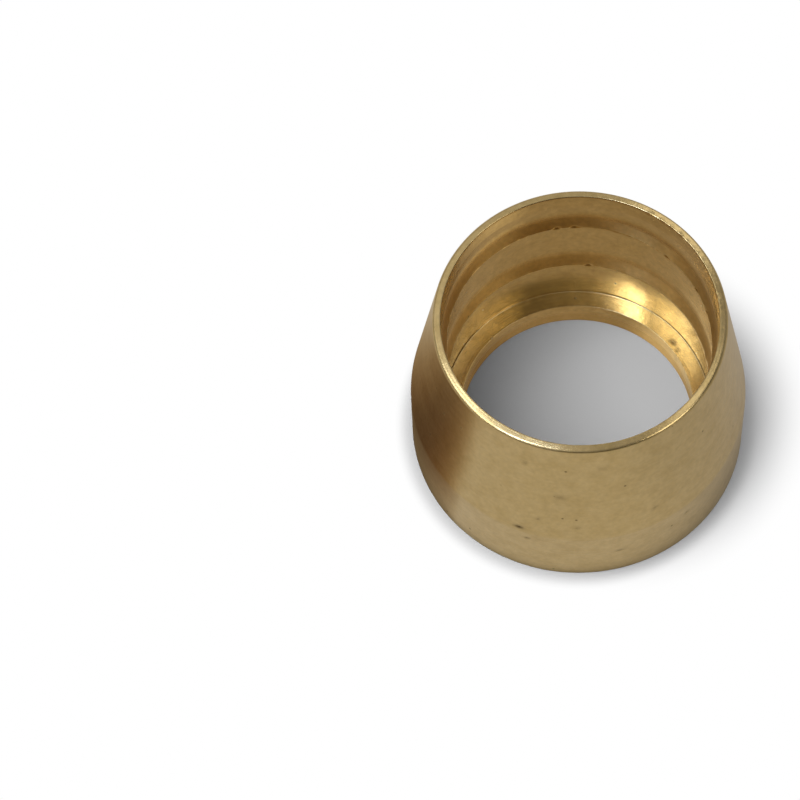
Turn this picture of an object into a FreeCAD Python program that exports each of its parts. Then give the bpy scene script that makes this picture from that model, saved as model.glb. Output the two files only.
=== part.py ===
import FreeCAD, Part
import math
import os

# A brass compression olive for a lined hose, turned in one piece. It stands on its wide end, with its
# axis on Z and its origin at the centre of the base face. Outside, a short cylindrical land runs into a
# long taper that is pushed under the hose's braid. Inside, barbs grip the liner, a shoulder stops its end,
# and the fitting's nipple passes through the lip's hole.

# Lengths along the axis, in millimetres
overall_length = 12.70
land_length = 4.45  # cylindrical part at the wide end
lip_thickness = 1.75  # base face to the shoulder that stops the liner
first_crest_rise = 3.64  # shoulder to the crest of the lowest barb
barb_pitch = 4.40
crest_width = 0.15  # cylindrical strip left on each crest
ramp_rise = 0.80  # crest to the point where the lines of ramp and wall meet
mouth_depth = 1.00  # tapered lead-in at the small end
rim_fall = 0.10  # how far the rim drops from its inner edge to its outer edge

# Sizes across the axis, in millimetres
crest_diameter = 14.35  # the barbs bite into a liner slightly larger than this
barb_depth = 0.29  # radial, from the crest to the wall between the barbs
throat_pinch = 0.03  # how far the throat stands inside that wall
land_wall = 1.785  # metal between that wall and the land
lip_reach = 0.675  # how far the lip stands inside the crests
mouth_ease = 0.30  # how far the mouth stands outside the crests
rim_width = 0.43  # narrow ring at the small end

# Corners of the section, in millimetres
taper_blend = 2.0  # radius where the land runs into the taper
ramp_sweep = 3.4  # radius where the wall runs into a barb's ramp
tool_nose = 0.08  # radius that the boring tool leaves in an inner corner
edge_break = 0.10  # chamfer on the edges of the rim, base and lip
corner_share = 0.8  # most of a straight run that one corner may use up

crest_radius = crest_diameter / 2
root_radius = crest_radius + barb_depth
land_radius = root_radius + land_wall
lip_radius = crest_radius - lip_reach
mouth_radius = crest_radius + mouth_ease
rim_radius = mouth_radius + rim_width
throat_height = overall_length - mouth_depth
rim_edge_height = overall_length - rim_fall
lowest_crest = lip_thickness + first_crest_rise


def corner(radius, height, rounding=0, chamfer=0):
    return {"at": FreeCAD.Vector(radius, 0, height), "rounding": rounding, "chamfer": chamfer}


def crest_heights():
    # Barbs repeat up the bore while the wall above the last one is at least as long as the mouth.
    room = throat_height - mouth_depth - lowest_crest
    count = math.floor(room / barb_pitch) + 1
    return [lowest_crest + barb_pitch * step for step in range(count)]


def bore_corners():
    # From the mouth down. Each barb has a hollow ramp towards the mouth and a flat underside, so that the
    # liner slides in over the crests and can't pull out again.
    corners = [corner(root_radius - throat_pinch, throat_height)]
    for height in reversed(crest_heights()):
        corners.append(corner(root_radius, height + ramp_rise, rounding=ramp_sweep))
        corners.append(corner(crest_radius, height))
        corners.append(corner(crest_radius, height - crest_width))
        corners.append(corner(root_radius, height - crest_width, rounding=tool_nose))
    corners.append(corner(root_radius, lip_thickness, rounding=tool_nose))
    corners.append(corner(lip_radius, lip_thickness, chamfer=edge_break))
    return corners


def section_corners():
    # Half section through the axis, from the lip's lower edge round the outside and down the bore.
    outside = [
        corner(lip_radius, 0, chamfer=edge_break),
        corner(land_radius, 0, chamfer=edge_break),
        corner(land_radius, land_length, rounding=taper_blend),
        corner(rim_radius, rim_edge_height, chamfer=edge_break),
        corner(mouth_radius + edge_break, overall_length),
        corner(mouth_radius, overall_length - edge_break),
    ]
    return outside + bore_corners()


def corner_finish(before, here, after):
    # The start and end of a corner's finish, and the arc or chamfer between them.
    back = before["at"] - here["at"]
    ahead = after["at"] - here["at"]
    longest = corner_share * min(back.Length, ahead.Length)
    half_angle = back.getAngle(ahead) / 2
    back.normalize()
    ahead.normalize()
    if here["rounding"]:
        tangent = min(here["rounding"] / math.tan(half_angle), longest)
        radius = tangent * math.tan(half_angle)
        inward = back + ahead
        inward.normalize()
        middle = here["at"] + inward * (radius / math.sin(half_angle) - radius)
        start = here["at"] + back * tangent
        end = here["at"] + ahead * tangent
        return start, end, Part.Arc(start, middle, end).toShape()
    if here["chamfer"]:
        run = min(here["chamfer"], longest)
        start = here["at"] + back * run
        end = here["at"] + ahead * run
        return start, end, Part.LineSegment(start, end).toShape()
    return here["at"], here["at"], None


def section_wire(corners):
    count = len(corners)
    finishes = []
    for index in range(count):
        following = corners[(index + 1) % count]
        finishes.append(corner_finish(corners[index - 1], corners[index], following))
    edges = []
    for index, (start, end, finish) in enumerate(finishes):
        if finish:
            edges.append(finish)
        next_start = finishes[(index + 1) % count][0]
        edges.append(Part.LineSegment(end, next_start).toShape())
    return Part.Wire(edges)


def olive():
    section = Part.Face(section_wire(section_corners()))
    return section.revolve(FreeCAD.Vector(0, 0, 0), FreeCAD.Vector(0, 0, 1), 360)


os.makedirs("parts", exist_ok=True)
olive().exportStep("parts/olive.step")
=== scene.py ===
import bpy
import math
import numpy as np
from mathutils import Matrix, Quaternion, Vector


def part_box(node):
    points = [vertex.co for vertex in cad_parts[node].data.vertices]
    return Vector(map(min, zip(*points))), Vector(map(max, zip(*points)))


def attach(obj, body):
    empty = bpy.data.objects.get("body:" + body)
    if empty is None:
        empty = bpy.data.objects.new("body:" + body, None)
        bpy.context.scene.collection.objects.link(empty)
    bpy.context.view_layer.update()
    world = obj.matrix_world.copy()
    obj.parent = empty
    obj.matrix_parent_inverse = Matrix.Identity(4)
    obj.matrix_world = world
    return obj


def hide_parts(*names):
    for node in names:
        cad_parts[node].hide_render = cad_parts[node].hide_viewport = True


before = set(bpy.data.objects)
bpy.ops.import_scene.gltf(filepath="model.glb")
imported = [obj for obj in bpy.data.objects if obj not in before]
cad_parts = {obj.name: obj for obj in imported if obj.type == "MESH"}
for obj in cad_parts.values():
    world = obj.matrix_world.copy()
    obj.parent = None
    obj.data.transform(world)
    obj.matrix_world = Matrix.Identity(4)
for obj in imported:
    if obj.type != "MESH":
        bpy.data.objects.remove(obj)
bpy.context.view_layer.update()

# A turned brass olive that stands on its wide end. Lengths are in millimetres, and mm turns them to metres.
mm = 0.001
print("frame:", sorted(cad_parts))


def linearColour(hexText):
    # sRGB hex to linear light, with full alpha
    levels = np.array([int(hexText[at:at + 2], 16) for at in (1, 3, 5)]) / 255
    curve = np.where(levels > 0.04045, ((levels + 0.055) / 1.055) ** 2.4, levels / 12.92)
    return (*curve.tolist(), 1.0)


def addNode(tree, kind, inputs=None, **settings):
    # settings are the node's own properties; an input is a value or the socket that feeds it
    node = tree.nodes.new(kind)
    for name, value in settings.items():
        setattr(node, name, value)
    for key, value in (inputs or {}).items():
        if isinstance(value, bpy.types.NodeSocket):
            tree.links.new(value, node.inputs[key])
        else:
            node.inputs[key].default_value = value
    return node


def newMaterial(name):
    material = bpy.data.materials.new(name)
    material.use_nodes = True
    material.node_tree.nodes.clear()
    return material, material.node_tree


def bump(distance, width):
    # bell curve: 1 at no distance, fading to nothing at about two widths
    return np.exp(-(distance / width) ** 2)


def angleGap(angles, centre):
    # signed difference of two angles in degrees, between -180 and 180
    return (angles - centre + 180) % 360 - 180


def ringBump(angles, centre, r, width):
    # the same bell laid round the ring, where the distance is the radius times the angle
    return bump(np.radians(angleGap(angles, centre)) * r, width)


# Section of the olive: corners in order round the loop, then arcs and runs between them.
oliveSize = {
    "landLength": 4.45,
    "lipThickness": 1.75,
    "crestRise": 3.64,  # shoulder to the crest of the lowest barb
    "barbPitch": 4.40,
    "crestWidth": 0.15,
    "mouthDepth": 1.00,
    "rimFall": 0.10,
    "crestRadius": 7.175,
    "barbDepth": 0.29,
    "lipReach": 0.675,
    "mouthEase": 0.30,
    "rimWidth": 0.43,
    "taperBlend": 2.0,
    "barbSweep": 3.4,  # radius of the hollow that runs down to each crest
    "barbRise": 0.80,
    "shoulderNose": 0.04,
    "edgeRound": 0.10,
    "rimRound": 0.20,
    "mouthRound": 0.045,
    "lipRound": 0.02,
    "crestRound": 0.02,
    "throatRound": 0.06,
    "throatPinch": 0.03,
    "outsideStep": 0.14,  # row spacing on land and taper, fine enough for the pits
    "boreStep": 0.30,
    "hiddenStep": 0.60,
    "supportStep": 0.04,  # rows that stand this far from each corner keep the shading crisp
    "supportGap": 1.5,  # the next row is at least this many such steps from the corner
    "arcSizes": (0.05, 1.0),  # radii at which small, middle and large arcs part
    "arcRows": (3, 5, 12),
    "arcRoom": 0.95,  # share of a run that one arc may take
    "columns": 400,
}


def crestHeights(size):
    lowest = size["lipThickness"] + size["crestRise"]
    return lowest, lowest + size["barbPitch"]


def oliveCorners(size, landRadius, length):
    # each corner is radius, height, rounding and the row spacing of the run that follows it
    edge = size["edgeRound"]
    crest = size["crestRadius"]
    root = crest + size["barbDepth"]
    lip = crest - size["lipReach"]
    mouth = crest + size["mouthEase"]
    throat = length - size["mouthDepth"]
    outside, bore, hidden = size["outsideStep"], size["boreStep"], size["hiddenStep"]
    corners = [
        (lip, 0, edge, hidden),
        (landRadius, 0, edge, outside),
        (landRadius, size["landLength"], size["taperBlend"], outside),
        (mouth + size["rimWidth"], length - size["rimFall"], size["rimRound"], outside),
        (mouth, length, size["mouthRound"], bore / 2),
        (root - size["throatPinch"], throat, size["throatRound"], bore),
    ]
    for height in reversed(crestHeights(size)):
        corners += [
            (root, height + size["barbRise"], size["barbSweep"], bore),
            (crest, height, size["crestRound"], bore),
            (crest, height - size["crestWidth"], size["crestRound"], bore),
            (root, height - size["crestWidth"], size["crestRound"], bore),
        ]
    corners += [
        (root, size["lipThickness"], size["shoulderNose"], bore / 2),
        (lip, size["lipThickness"], size["lipRound"], bore),
    ]
    return corners


def sectionLine(corners, size):
    # a corner is an arc tangent to both runs: point = centre + (first sin((1-t)w) + last sin(tw)) / sin(w)
    # with w the angle between its end spokes first and last; then rows follow along the run to the next arc
    arcs = []
    for index, (radius, height, rounding, step) in enumerate(corners):
        here = np.array([radius, height])
        back = np.array(corners[index - 1][:2]) - here
        ahead = np.array(corners[(index + 1) % len(corners)][:2]) - here
        room = size["arcRoom"] * min(np.linalg.norm(back), np.linalg.norm(ahead))
        back, ahead = back / np.linalg.norm(back), ahead / np.linalg.norm(ahead)
        half = math.acos(np.clip(back @ ahead, -1, 1)) / 2
        reach = min(rounding / math.tan(half), room)
        centre = here + (back + ahead) / np.linalg.norm(back + ahead) * reach / math.cos(half)
        turn = math.pi - 2 * half
        count = size["arcRows"][np.searchsorted(size["arcSizes"], rounding, side="right")]
        t = np.linspace(0, 1, count)[:, None]
        first, last = here + back * reach - centre, here + ahead * reach - centre
        spokes = (np.sin((1 - t) * turn) * first + np.sin(t * turn) * last) / math.sin(turn)
        arcs.append((centre + spokes, step))
    line = []
    for index, (arc, step) in enumerate(arcs):
        run = arcs[(index + 1) % len(arcs)][0][0] - arc[-1]
        span = np.linalg.norm(run)
        close = min(size["supportStep"], span / 4)
        clear = size["supportGap"] * close
        rows = np.linspace(0, span, max(2, round(span / step) + 1))[1:-1]
        rows = rows[(rows > clear) & (rows < span - clear)]
        rows = np.r_[close, rows, span - close]
        line += [arc, arc[-1] + run * (rows / span)[:, None]]
    return np.concatenate(line)


# Handling marks and burrs, and a painted shade in the corner of the shoulder. A pit is an angle in degrees
# from +X, a height or a radius, its size round the ring, its size along the section and its depth.
oliveMarks = {
    "pits": [
        (245.6, 4.74, 0.26, 0.13, 0.030),
        (248.6, 3.74, 0.16, 0.12, 0.020),
        (259.2, 8.35, 0.28, 0.20, 0.010),
        (280.6, 2.52, 0.26, 0.08, 0.020),
        (274.7, 11.02, 0.30, 0.16, 0.006),
        (245.3, 10.84, 0.10, 0.14, 0.012),
        (293.4, 5.96, 0.16, 0.10, 0.010),
        (306.2, 3.45, 0.14, 0.12, 0.015),
        (265.6, 5.61, 0.16, 0.12, 0.010),
        (252.0, 6.01, 0.10, 0.10, 0.012),
    ],
    "darkPit": 0.03,  # a pit outside that is this deep is stained in full
    "shoulderPits": [(34.0, 6.80, 0.22, 0.10, 0.04), (29.5, 6.72, 0.13, 0.08, 0.03)],
    "crestNotches": [(96.0, 1, 0.16), (88.0, 1, 0.22), (82.0, 0, 0.20)],  # angle, crest, width
    "notchDepth": 0.08,
    "notchReach": 0.10,
    "nickCount": 150,  # small nicks at random places round each crest
    "nickDepth": 0.032,
    "nickReach": 0.06,
    "nickWidth": 0.12,
    "burrSpan": (-5.0, 68.0),
    "burrFade": 15.0,
    "burrHeight": 0.030,
    "burrInset": 0.05,
    "burrReach": 0.09,
    "burrPatch": 5,  # neighbouring columns that are ragged to one degree
    "cornerShade": 0.24,  # painted shade that darkens the corner of the shoulder
    "cornerReach": 0.03,
    "cornerShadeSide": 30.0,  # the painted shade is darkest at this angle
    "cornerShadeLean": 0.4,
    "seed": 7,
}

# Where each finish lies. A face is told by its outward normal: how far it looks away from the axis, or up.
oliveZones = {
    "outsideLook": 0.5,
    "insideLook": 0.3,
    "boreFrom": 0.5,  # share of the lip's thickness
    "shoulderWithin": 0.02,
    "barbsFrom": 1.0,  # above the shoulder
    "faceLook": 0.05,  # barb faces look up by more than this
    "faceBlend": 0.15,
    "rimLook": 0.7,
    "rimBand": 0.20,
    "rimShare": 0.6,  # how much of the bore's paler finish the rim has
}


def crestWear(size, marks, r, z, angle, draw):
    # a few notches and many nicks: each is a bell round the ring times a bell about the crest's edge
    crests = crestHeights(size)
    worn = np.zeros((r.size, angle.size))
    for place, which, width in marks["crestNotches"]:
        edge = bump(np.hypot(r - size["crestRadius"], z - crests[which]), marks["notchReach"])
        worn += marks["notchDepth"] * edge * ringBump(angle, place, r, width)
    for height in crests:
        edge = bump(np.hypot(r - size["crestRadius"], z - height), marks["nickReach"])
        places = draw.uniform(0, 360, marks["nickCount"])
        depths = draw.uniform(0, marks["nickDepth"], marks["nickCount"])
        worn += edge * sum(d * ringBump(angle, p, r, marks["nickWidth"]) for p, d in zip(places, depths))
    return worn


def mouthBurrs(size, marks, r, z, angle, length, draw):
    # left by the boring tool: the mouth's edge steps in and out from one column to the next
    first, last = marks["burrSpan"]
    inset = marks["burrInset"]
    edge = np.hypot(r - size["crestRadius"] - size["mouthEase"] - inset, z - length + inset)
    beyond = abs(angleGap(angle, (first + last) / 2)) - (last - first) / 2
    patches = np.repeat(draw.uniform(0, 1, angle.size // marks["burrPatch"]), marks["burrPatch"])
    ragged = np.clip(-beyond / marks["burrFade"], 0, 1) * patches * draw.normal(0, 1, angle.shape)
    return bump(edge, marks["burrReach"]) * marks["burrHeight"] * ragged


def oliveSurface(size, marks, zones, landRadius, length):
    # the section line carried round the axis: point = (r cos a, r sin a, z). Pits and burrs move it along
    # its normal. Crests wear straight back towards the wall, so that the section never folds.
    line = sectionLine(oliveCorners(size, landRadius, length), size)
    tangent = np.roll(line, -1, 0) - np.roll(line, 1, 0)
    tangent /= np.linalg.norm(tangent, axis=1)[:, None]
    outward, upward = tangent[:, 1:], -tangent[:, :1]
    r, z = line[:, :1], line[:, 1:]
    angle = np.linspace(0, 360, size["columns"], endpoint=False)[None, :]
    draw = np.random.default_rng(marks["seed"])
    lip = size["lipThickness"]
    outside = outward > zones["outsideLook"]
    shoulder = abs(z - lip) < zones["shoulderWithin"]
    inside = (outward < zones["insideLook"]) & (z > zones["boreFrom"] * lip) & (z < length - size["rimFall"])
    barbs = inside & (z > lip + zones["barbsFrom"]) & (z < length - size["mouthDepth"])
    face = barbs * np.clip((upward - zones["faceLook"]) / zones["faceBlend"], 0, 1)
    move, stainAndShade = np.zeros((2, len(line), size["columns"]))
    for place, height, around, along, depth in marks["pits"]:
        spot = outside * ringBump(angle, place, r, around) * bump(z - height, along)
        move -= depth * spot
        stainAndShade += spot * min(1, depth / marks["darkPit"])
    for place, radius, around, along, depth in marks["shoulderPits"]:
        spot = shoulder * ringBump(angle, place, r, around) * bump(r - radius, along)
        move -= depth * spot
        stainAndShade += spot
    worn = crestWear(size, marks, r, z, angle, draw)
    move += mouthBurrs(size, marks, r, z, angle, length, draw)
    # painted shade: the stain colour darkens the corner of the shoulder, most on one side
    corner = bump(np.hypot(r - size["crestRadius"] - size["barbDepth"], z - lip), marks["cornerReach"])
    lean = marks["cornerShadeLean"] * np.cos(np.radians(angle - marks["cornerShadeSide"]))
    stainAndShade += corner * marks["cornerShade"] * (1 - marks["cornerShadeLean"] + lean)
    r = np.minimum(r + outward * move + worn, landRadius)
    z = np.clip(z + upward * move, 0, length)
    rim = (upward > zones["rimLook"]) & (z > length - zones["rimBand"])
    bore = np.maximum(inside, rim * zones["rimShare"])
    turn = np.radians(angle)
    points = np.stack([r * np.cos(turn), r * np.sin(turn), z], 2) * mm
    return points, {"stainAndShade": np.clip(stainAndShade, 0, 1), "bore": bore, "face": face}


def loopedGrid(name, points):
    # quads between neighbouring rows and columns; both directions close on themselves
    rows, columns = points.shape[:2]
    row, column = np.meshgrid(np.arange(rows), np.arange(columns), indexing="ij")
    nextRow, nextColumn = (row + 1) % rows, (column + 1) % columns
    corners = [(row, column), (row, nextColumn), (nextRow, nextColumn), (nextRow, column)]
    quads = np.stack([a * columns + b for a, b in corners], 2).reshape(-1, 4)
    mesh = bpy.data.meshes.new(name)
    mesh.vertices.add(rows * columns)
    mesh.vertices.foreach_set("co", points.reshape(-1).astype(np.float32))
    mesh.loops.add(quads.size)
    mesh.loops.foreach_set("vertex_index", quads.reshape(-1).astype(np.int32))
    mesh.polygons.add(len(quads))
    mesh.polygons.foreach_set("loop_start", np.arange(0, quads.size, 4, dtype=np.int32))
    mesh.update(calc_edges=True)
    mesh.validate()
    mesh.shade_smooth()
    return mesh


_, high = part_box("olive")
points, finishMaps = oliveSurface(oliveSize, oliveMarks, oliveZones, high.x / mm, high.z / mm)
oliveMesh = loopedGrid("turnedOlive", points)
for name, values in finishMaps.items():
    layer = oliveMesh.attributes.new(name, "FLOAT", "POINT")
    values = np.broadcast_to(values, points.shape[:2])
    layer.data.foreach_set("value", values.reshape(-1).astype(np.float32))
olive = bpy.data.objects.new("turnedOlive", oliveMesh)
bpy.context.scene.collection.objects.link(olive)
print("olive:", points.shape[0], "rows,", len(oliveMesh.polygons) * 2, "triangles")


# Turned brass, left as it came off the lathe: satin, with fine tool lines round the axis that stretch
# highlights up and down the wall, a dull mottling of thin oxide and a few dark specks. Sizes in millimetres.
brassFinish = {
    "metal": "#D0B37A",
    "oxide": "#C4A66B",
    # the colour of stains and specks, and of the painted shade in the corner of the shoulder
    "stainAndShade": "#5C4727",
    "boreTint": (1.0, 1.05, 1.15, 1.0),  # the bore is paler than the handled outside
    "warmFilm": "#FFF0D0",  # the barb faces keep a thin brown film
    "toolPitch": 0.11,  # about two pixels, drawn coarser than the real feed so that it shows
    "streak": 5.0,  # how far one tool line runs before it fades
    "lineDepth": (0.011, 0.006),  # outside, then in the bore
    "grain": 0.12,
    "grainShare": 0.5,
    "mottle": 0.9,
    "oxideRange": (0.35, 0.75),  # levels of the mottling between which the oxide comes in
    "filmGrain": 0.28,  # the film of oxide lies in fine grains
    "filmRange": (0.3, 0.7),
    "filmDepth": 0.09,
    "filmShare": (0.6, 1.0),  # outside, then in the bore
    "speckGap": 1.3,
    "speckSize": (0.036, 0.096),  # the dark core, then where it has faded
    "speckDark": 0.65,
    "roughness": (0.26, 0.14),  # outside, then in the bore
    "faceRoughness": 0.25,  # barb faces are rougher across their tool lines
    "lineRoughness": 0.12,
    "stainAndShadeRoughness": 0.25,
    "anisotropy": 0.60,
    "faceAnisotropy": 1.0,
    "stretchTurn": 0.25,  # a quarter turn, so that highlights stretch across the tool lines
}


def turnedBrass(finish):
    material, tree = newMaterial("turnedBrass")
    place = addNode(tree, "ShaderNodeTexCoord").outputs["Object"]
    height = addNode(tree, "ShaderNodeSeparateXYZ", {0: place}).outputs["Z"]
    flat = addNode(tree, "ShaderNodeVectorMath", {0: place, 1: (1, 1, 0)}, operation="MULTIPLY").outputs[0]
    radius = addNode(tree, "ShaderNodeVectorMath", {0: flat}, operation="LENGTH").outputs["Value"]
    # radius plus height runs along the section, so the lines ring every face
    along = addNode(tree, "ShaderNodeMath", {0: radius, 1: height}, operation="ADD").outputs[0]
    squeeze = finish["streak"] / finish["toolPitch"]
    along = addNode(tree, "ShaderNodeMath", {0: along, 1: squeeze}, operation="MULTIPLY").outputs[0]
    linePlace = addNode(tree, "ShaderNodeCombineXYZ", {"Z": along}).outputs[0]
    linePlace = addNode(tree, "ShaderNodeVectorMath", {0: linePlace, 1: flat}, operation="ADD").outputs[0]
    lines, grain, mottle, film = [
        addNode(tree, "ShaderNodeTexNoise", {
            "Vector": where, "Scale": 1 / (finish[size] * mm), "Detail": detail, "Roughness": rough,
        }).outputs["Fac"]
        for where, size, detail, rough in (
            (linePlace, "streak", 2.0, 0.5),
            (place, "grain", 1.0, 0.5),
            (place, "mottle", 4.0, 0.6),
            (place, "filmGrain", 2.0, 0.5),
        )]
    stainAndShade, bore, face = [
        addNode(tree, "ShaderNodeAttribute", attribute_name=name).outputs["Fac"]
        for name in ("stainAndShade", "bore", "face")]
    filmShare, roughness, lineDepth = [
        addNode(tree, "ShaderNodeMapRange", {
            "Value": bore, "To Min": finish[name][0] * unit, "To Max": finish[name][1] * unit}).outputs[0]
        for name, unit in (("filmShare", 1), ("roughness", 1), ("lineDepth", mm))]
    # specks: dark round each cell's centre
    specks = addNode(tree, "ShaderNodeTexVoronoi", {
        "Vector": place, "Scale": 1 / (finish["speckGap"] * mm)}).outputs["Distance"]
    core, faded = [size / finish["speckGap"] for size in finish["speckSize"]]
    speck = addNode(tree, "ShaderNodeMapRange", {
        "Value": specks, "From Min": core, "From Max": faded,
        "To Min": finish["speckDark"], "To Max": 0.0}).outputs[0]
    # real stains and specks, and the painted shade in the shoulder's corner, all in the stain colour
    stainsSpecksAndShade = addNode(tree, "ShaderNodeMath", {0: stainAndShade, 1: speck}, operation="MAXIMUM").outputs[0]
    oxide, film = [
        addNode(tree, "ShaderNodeMapRange", {
            "Value": level, "From Min": finish[name][0], "From Max": finish[name][1],
            "To Min": least, "To Max": most}).outputs[0]
        for level, name, least, most in (
            (mottle, "oxideRange", 0.0, 1.0),
            (film, "filmRange", 1 - finish["filmDepth"], 1 + finish["filmDepth"]),
        )]
    # in a colour mix, socket 0 is the factor, 6 and 7 the colours, and output 2 the result
    colour = linearColour(finish["metal"])
    for share, coat in ((oxide, "oxide"), (stainsSpecksAndShade, "stainAndShade")):
        colour = addNode(tree, "ShaderNodeMix", {0: share, 6: colour, 7: linearColour(finish[coat])},
                         data_type="RGBA").outputs[2]
    warmFilm = linearColour(finish["warmFilm"])
    for share, tint in ((bore, finish["boreTint"]), (face, warmFilm), (filmShare, film)):
        colour = addNode(tree, "ShaderNodeMix", {0: share, 6: colour, 7: tint},
                         data_type="RGBA", blend_type="MULTIPLY").outputs[2]
    roughness = addNode(tree, "ShaderNodeMapRange", {
        "Value": face, "To Min": roughness, "To Max": finish["faceRoughness"]}).outputs[0]
    for share, added in ((lines, "lineRoughness"), (stainsSpecksAndShade, "stainAndShadeRoughness")):
        roughness = addNode(tree, "ShaderNodeMath", {0: share, 1: finish[added], 2: roughness},
                            operation="MULTIPLY_ADD").outputs[0]
    anisotropy = addNode(tree, "ShaderNodeMapRange", {
        "Value": face, "To Min": finish["anisotropy"], "To Max": finish["faceAnisotropy"]}).outputs[0]
    relief = addNode(tree, "ShaderNodeMath", {0: grain, 1: finish["grainShare"], 2: lines},
                     operation="MULTIPLY_ADD").outputs[0]
    normal = addNode(tree, "ShaderNodeBump", {
        "Strength": 1.0, "Distance": lineDepth, "Height": relief}).outputs[0]
    tangent = addNode(tree, "ShaderNodeTangent", direction_type="RADIAL", axis="Z").outputs[0]
    shader = addNode(tree, "ShaderNodeBsdfPrincipled", {
        "Base Color": colour, "Metallic": 1.0, "Roughness": roughness, "Anisotropic": anisotropy,
        "Anisotropic Rotation": finish["stretchTurn"], "Normal": normal, "Tangent": tangent}).outputs[0]
    addNode(tree, "ShaderNodeOutputMaterial", {"Surface": shader})
    return material


oliveMesh.materials.append(turnedBrass(brassFinish))
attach(olive, "root")
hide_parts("olive")
print("brass: done")


# Floor: matt white paper. The camera sees its true shading where the shadow lies beside the olive, and plain
# white beyond. The brass mirrors it at set tones with light and shade painted in: grey in the open, a
# painted shadow to the right and along the foot, a brown painted shade on the left, and inside the ring a
# painted shade warmed by painted bounce light, where light has met brass before. Each edge is where one tone
# starts to give way to the next and where it has gone, told from the axis unless a note says otherwise.
floorLook = {
    "halfSize": 1500.0,
    "paper": "#FFFFFF",
    "plainEdge": (9.3, 10.3),
    "shadowCentre": (2.3, 0.5, 0.0),
    "shadowEdge": (7.0, 11.2),  # from the shadow's centre
    # painted shadow along the foot
    "contactTone": "#818181",
    "contactEdge": (9.1, 9.8),
    "openTone": "#D3D3D3",
    # painted shadow: the open tone is darker on the right
    "rightTone": "#C0C0C0",
    "rightEdge": (5.0, 13.0),  # across, as the left one is
    "nearShade": "#C2B8AA",  # what one step into the shade leaves of the light
    "farShade": "#A88A69",
    "nearEdge": (10.2, 11.4),
    "shadeSteps": 2.6,
    "shadeEase": 0.7,
    "shadeLean": -0.3,
    "shadeDepth": (-3.6, 2.9),  # from front to back, slanted by the lean
    "shadeBack": (12.6, 4.5),
    "shadeSide": (-4.0, -7.0),  # across
    "shadeEnd": (-34.0, -13.0),
    # painted shade and warm bounce light inside the ring
    "ringTone": "#AC9B80",
    "ringEdge": (6.3, 9.3),
    # painted shade inside the ring, on its left
    "leftTone": "#8E7959",
    "leftEdge": (-2.5, -5.0),
    "bounceTone": "#F9E7C2",  # a patch of light that the bore throws down
    "bounceCentre": (4.2, 2.6, 0.0),
    "bounceStretch": (1.0, 0.6, 1.0),
    "bounceEdge": (0.8, 2.4),  # from the patch's centre
}


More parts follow.
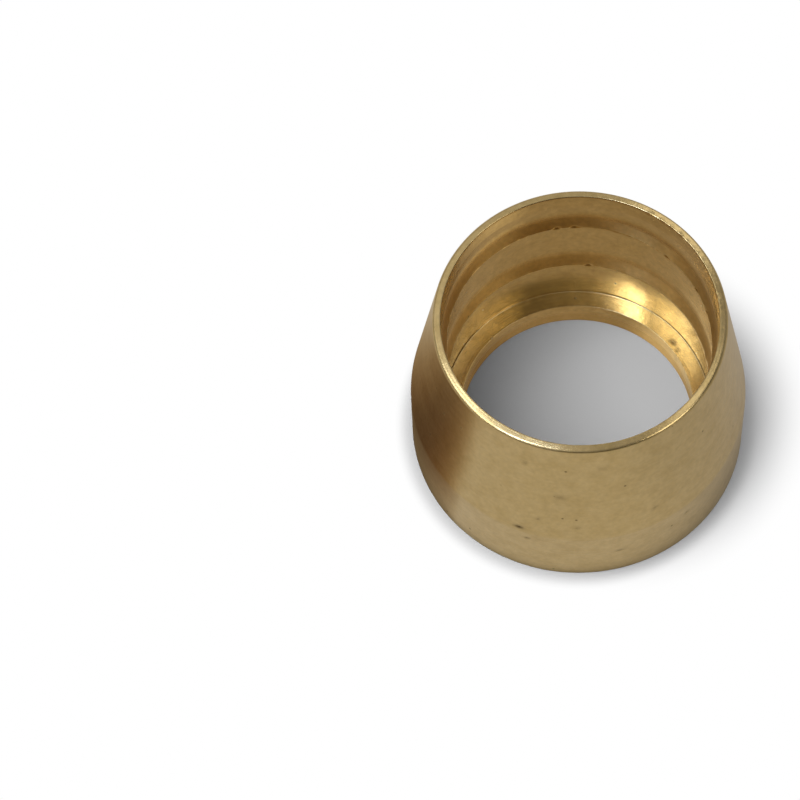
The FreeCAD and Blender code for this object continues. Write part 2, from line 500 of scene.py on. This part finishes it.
def paperFloor(look):
    material, tree = newMaterial("mattPaper")
    colours = {name: linearColour(value) for name, value in look.items() if str(value).startswith("#")}
    place = addNode(tree, "ShaderNodeTexCoord").outputs["Object"]
    away = addNode(tree, "ShaderNodeVectorMath", {0: place}, operation="LENGTH").outputs["Value"]
    aside = addNode(tree, "ShaderNodeVectorMath", {0: place, 1: Vector(look["shadowCentre"]) * mm},
                    operation="DISTANCE").outputs["Value"]
    across, ahead, _ = addNode(tree, "ShaderNodeSeparateXYZ", {0: place}).outputs
    slant = addNode(tree, "ShaderNodeMath", {0: across, 1: look["shadeLean"], 2: ahead},
                    operation="MULTIPLY_ADD").outputs[0]
    stretch = np.array(look["bounceStretch"])
    slim = addNode(tree, "ShaderNodeVectorMath", {0: place, 1: stretch}, operation="MULTIPLY").outputs[0]
    bounceCentre = stretch * look["bounceCentre"] * mm
    fromBounce = addNode(tree, "ShaderNodeVectorMath", {0: slim, 1: bounceCentre},
                         operation="DISTANCE").outputs["Value"]
    # one ramp from 0 to 1 for each edge
    ramps = {}
    for value, kind, names in (
            (away, "SMOOTHSTEP", ("plainEdge", "contactEdge", "nearEdge", "ringEdge")),
            (aside, "SMOOTHSTEP", ("shadowEdge",)),
            (fromBounce, "SMOOTHSTEP", ("bounceEdge",)),
            (across, "SMOOTHSTEP", ("leftEdge", "rightEdge")),
            (across, "LINEAR", ("shadeSide", "shadeEnd")),
            (slant, "LINEAR", ("shadeDepth", "shadeBack"))):
        for name in names:
            ramps[name] = addNode(tree, "ShaderNodeMapRange", {
                "Value": value, "From Min": look[name][0] * mm, "From Max": look[name][1] * mm},
                interpolation_type=kind).outputs[0]
    # what the camera sees: true paper beside the olive, white beyond
    ray = addNode(tree, "ShaderNodeLightPath").outputs
    plain = ramps["plainEdge"]
    for share in (ramps["shadowEdge"], ray["Is Camera Ray"]):
        plain = addNode(tree, "ShaderNodeMath", {0: plain, 1: share}, operation="MULTIPLY").outputs[0]
    paper = addNode(tree, "ShaderNodeBsdfDiffuse", {"Color": colours["paper"]}).outputs[0]
    white = addNode(tree, "ShaderNodeEmission", {"Color": colours["paper"], "Strength": 1.0}).outputs[0]
    direct = addNode(tree, "ShaderNodeMixShader", {0: plain, 1: paper, 2: white}).outputs[0]
    # what the brass mirrors, with light and shade painted in: inside the ring, then around it
    inside = colours["bounceTone"]
    for edge, tone in (("bounceEdge", "ringTone"), ("leftEdge", "leftTone")):
        inside = addNode(tree, "ShaderNodeMix", {0: ramps[edge], 6: inside, 7: colours[tone]},
                         data_type="RGBA").outputs[2]
    steps = addNode(tree, "ShaderNodeMath", {0: ramps["shadeDepth"], 1: look["shadeEase"]},
                    operation="POWER").outputs[0]
    for share in (ramps["shadeBack"], ramps["shadeSide"], ramps["shadeEnd"], look["shadeSteps"]):
        steps = addNode(tree, "ShaderNodeMath", {0: steps, 1: share}, operation="MULTIPLY").outputs[0]
    shade = addNode(tree, "ShaderNodeMix", {
        0: ramps["nearEdge"], 6: colours["nearShade"], 7: colours["farShade"]}, data_type="RGBA").outputs[2]
    shade = addNode(tree, "ShaderNodeGamma", {"Color": shade, "Gamma": steps}).outputs[0]
    lit = addNode(tree, "ShaderNodeMath", {0: ramps["shadowEdge"], 1: ramps["contactEdge"]},
                  operation="MULTIPLY").outputs[0]
    around = addNode(tree, "ShaderNodeMix", {
        0: ramps["rightEdge"], 6: colours["openTone"], 7: colours["rightTone"]}, data_type="RGBA").outputs[2]
    around = addNode(tree, "ShaderNodeMix", {0: lit, 6: colours["contactTone"], 7: around},
                     data_type="RGBA").outputs[2]
    around = addNode(tree, "ShaderNodeMix", {0: 1.0, 6: around, 7: shade},
                     data_type="RGBA", blend_type="MULTIPLY").outputs[2]
    tone = addNode(tree, "ShaderNodeMix", {0: ramps["ringEdge"], 6: inside, 7: around},
                   data_type="RGBA").outputs[2]
    mirrored = addNode(tree, "ShaderNodeEmission", {"Color": tone, "Strength": 1.0}).outputs[0]
    surface = addNode(tree, "ShaderNodeMixShader", {
        0: ray["Is Glossy Ray"], 1: direct, 2: mirrored}).outputs[0]
    addNode(tree, "ShaderNodeOutputMaterial", {"Surface": surface})
    return material


def flatCard(name, corners, material):
    # one quad through four corners, a stage piece
    mesh = bpy.data.meshes.new(name)
    mesh.from_pydata((np.array(corners) * mm).tolist(), [], [(0, 1, 2, 3)])
    mesh.materials.append(material)
    card = bpy.data.objects.new(name, mesh)
    bpy.context.scene.collection.objects.link(card)


half = floorLook["halfSize"]
floorCorners = [(-half, -half, 0), (half, -half, 0), (half, half, 0), (-half, half, 0)]
flatCard("paperFloor", floorCorners, paperFloor(floorLook))


# Studio: one big lamp lights the paper, and bright boxes are what the brass mirrors. Azimuth runs from the
# front to the left.
boxAway = 600
softBoxes = [
    {"name": "paperLamp", "azimuth": 71, "elevation": 66, "roll": 0, "width": 350, "height": 350,
     "radiance": 4.1, "colour": "#FFFFFF", "mirrored": False},
    {"name": "narrowBox", "azimuth": 51, "elevation": 62, "roll": 4, "width": 74, "height": 330,
     "radiance": 17.5, "colour": "#C2D4FF", "mirrored": True},
    {"name": "wideBox", "azimuth": 97, "elevation": 60, "roll": 0, "width": 230, "height": 215,
     "radiance": 4.4, "colour": "#D9E7FF", "mirrored": True},
    {"name": "lowBox", "azimuth": 68, "elevation": 40, "roll": 0, "width": 100, "height": 110,
     "radiance": 7.0, "colour": "#F0F4FF", "mirrored": True},
    {"name": "rightBox", "azimuth": -59, "elevation": 45, "roll": 0, "width": 220, "height": 212,
     "radiance": 3.2, "colour": "#FFFFFF", "mirrored": True},
    {"name": "fillBox", "azimuth": -112, "elevation": 65, "roll": 0, "width": 260, "height": 160,
     "radiance": 1.0, "colour": "#FFFFFF", "mirrored": True},
    {"name": "backBox", "azimuth": -154, "elevation": 36, "roll": 0, "width": 170, "height": 220,
     "radiance": 1.1, "colour": "#FFFFFF", "mirrored": True},
]


def softBox(name, azimuth, elevation, roll, width, height, radiance, colour, mirrored):
    # a rectangle of even brightness that faces the origin; its power is pi times radiance times area
    turn, rise = math.radians(azimuth), math.radians(elevation)
    outward = Vector((-math.sin(turn) * math.cos(rise), -math.cos(turn) * math.cos(rise), math.sin(rise)))
    light = bpy.data.lights.new(name, "AREA")
    light.shape = "RECTANGLE"
    light.size, light.size_y = width * mm, height * mm
    light.energy = math.pi * radiance * light.size * light.size_y
    light.color = linearColour(colour)[:3]
    lamp = bpy.data.objects.new(name, light)
    lamp.location = outward * boxAway * mm
    facing = outward.to_track_quat("Z", "Y") @ Quaternion((0, 0, 1), math.radians(-roll))
    lamp.rotation_euler = facing.to_euler()
    lamp.visible_camera = False
    lamp.visible_glossy = mirrored
    lamp.visible_diffuse = not mirrored
    bpy.context.scene.collection.objects.link(lamp)


for box in softBoxes:
    softBox(**box)

# Room: what the brass mirrors between the boxes, a dim band low down and a lighter ceiling.
roomLook = {
    "wall": "#E7E7E7",
    "sky": "#FFFFFF",
    "low": 0.28,
    "lowLean": 0.30,  # brighter to the back
    "high": 0.60,
    "highLean": (-0.70, 0.18, 0.0),  # brighter to the left
    "ceilingRise": (0.42, 0.64),  # sines of the elevations between which the ceiling comes in
    "onPaper": 0.46,
}


def evenRoom(look):
    world = bpy.data.worlds.new("evenRoom")
    world.use_nodes = True
    tree = world.node_tree
    tree.nodes.clear()
    direction = addNode(tree, "ShaderNodeTexCoord").outputs["Generated"]
    _, ahead, height = addNode(tree, "ShaderNodeSeparateXYZ", {0: direction}).outputs
    lean = addNode(tree, "ShaderNodeVectorMath", {0: direction, 1: look["highLean"]},
                   operation="DOT_PRODUCT").outputs["Value"]
    lower = addNode(tree, "ShaderNodeMath", {0: ahead, 1: look["lowLean"], 2: look["low"]},
                    operation="MULTIPLY_ADD", use_clamp=True).outputs[0]
    upper = addNode(tree, "ShaderNodeMath", {0: lean, 1: look["high"]}, operation="ADD").outputs[0]
    level = addNode(tree, "ShaderNodeMapRange", {
        "Value": height, "From Min": look["ceilingRise"][0], "From Max": look["ceilingRise"][1],
        "To Min": lower, "To Max": upper}, interpolation_type="SMOOTHSTEP").outputs[0]
    # the camera sees white, the paper an even sky, and the brass the room
    room, sky, white = [
        addNode(tree, "ShaderNodeBackground", {
            "Color": linearColour(look[name]), "Strength": strength}).outputs[0]
        for name, strength in (("wall", level), ("sky", look["onPaper"]), ("sky", 1.0))]
    ray = addNode(tree, "ShaderNodeLightPath").outputs
    surface = room
    for kind, seen in (("Is Diffuse Ray", sky), ("Is Camera Ray", white)):
        surface = addNode(tree, "ShaderNodeMixShader", {0: ray[kind], 1: surface, 2: seen}).outputs[0]
    addNode(tree, "ShaderNodeOutputWorld", {"Surface": surface})
    bpy.context.scene.world = world


evenRoom(roomLook)
print("stage: done")


# Camera: the photograph's own, fitted to the olive's outlines.
cameraFit = {
    "lens": 184.4,
    "sensor": 36.0,
    "elevation": 63.63,
    "roll": -3.21,
    "away": 231.57,
    "aim": (-9.866, 2.058, 0),
}


def photoCamera(fit):
    # looks along the line to the aim point, and rolls about it
    rise, roll = math.radians(fit["elevation"]), math.radians(fit["roll"])
    ahead = Vector((0, math.cos(rise), -math.sin(rise)))
    across = Vector((1, 0, 0))
    above = across.cross(ahead)
    right = across * math.cos(roll) + above * math.sin(roll)
    up = above * math.cos(roll) - across * math.sin(roll)
    data = bpy.data.cameras.new("photoCamera")
    data.lens, data.sensor_width = fit["lens"], fit["sensor"]
    camera = bpy.data.objects.new("photoCamera", data)
    bpy.context.scene.collection.objects.link(camera)
    spot = (Vector(fit["aim"]) - ahead * fit["away"]) * mm
    camera.matrix_world = Matrix.Translation(spot) @ Matrix((right, up, -ahead)).transposed().to_4x4()
    bpy.context.scene.camera = camera


photoCamera(cameraFit)
bpy.context.scene.view_settings.view_transform = "Standard"
bpy.context.scene.cycles.caustics_reflective = False  # keeps the paper inside the ring a clean grey
print("camera: done")
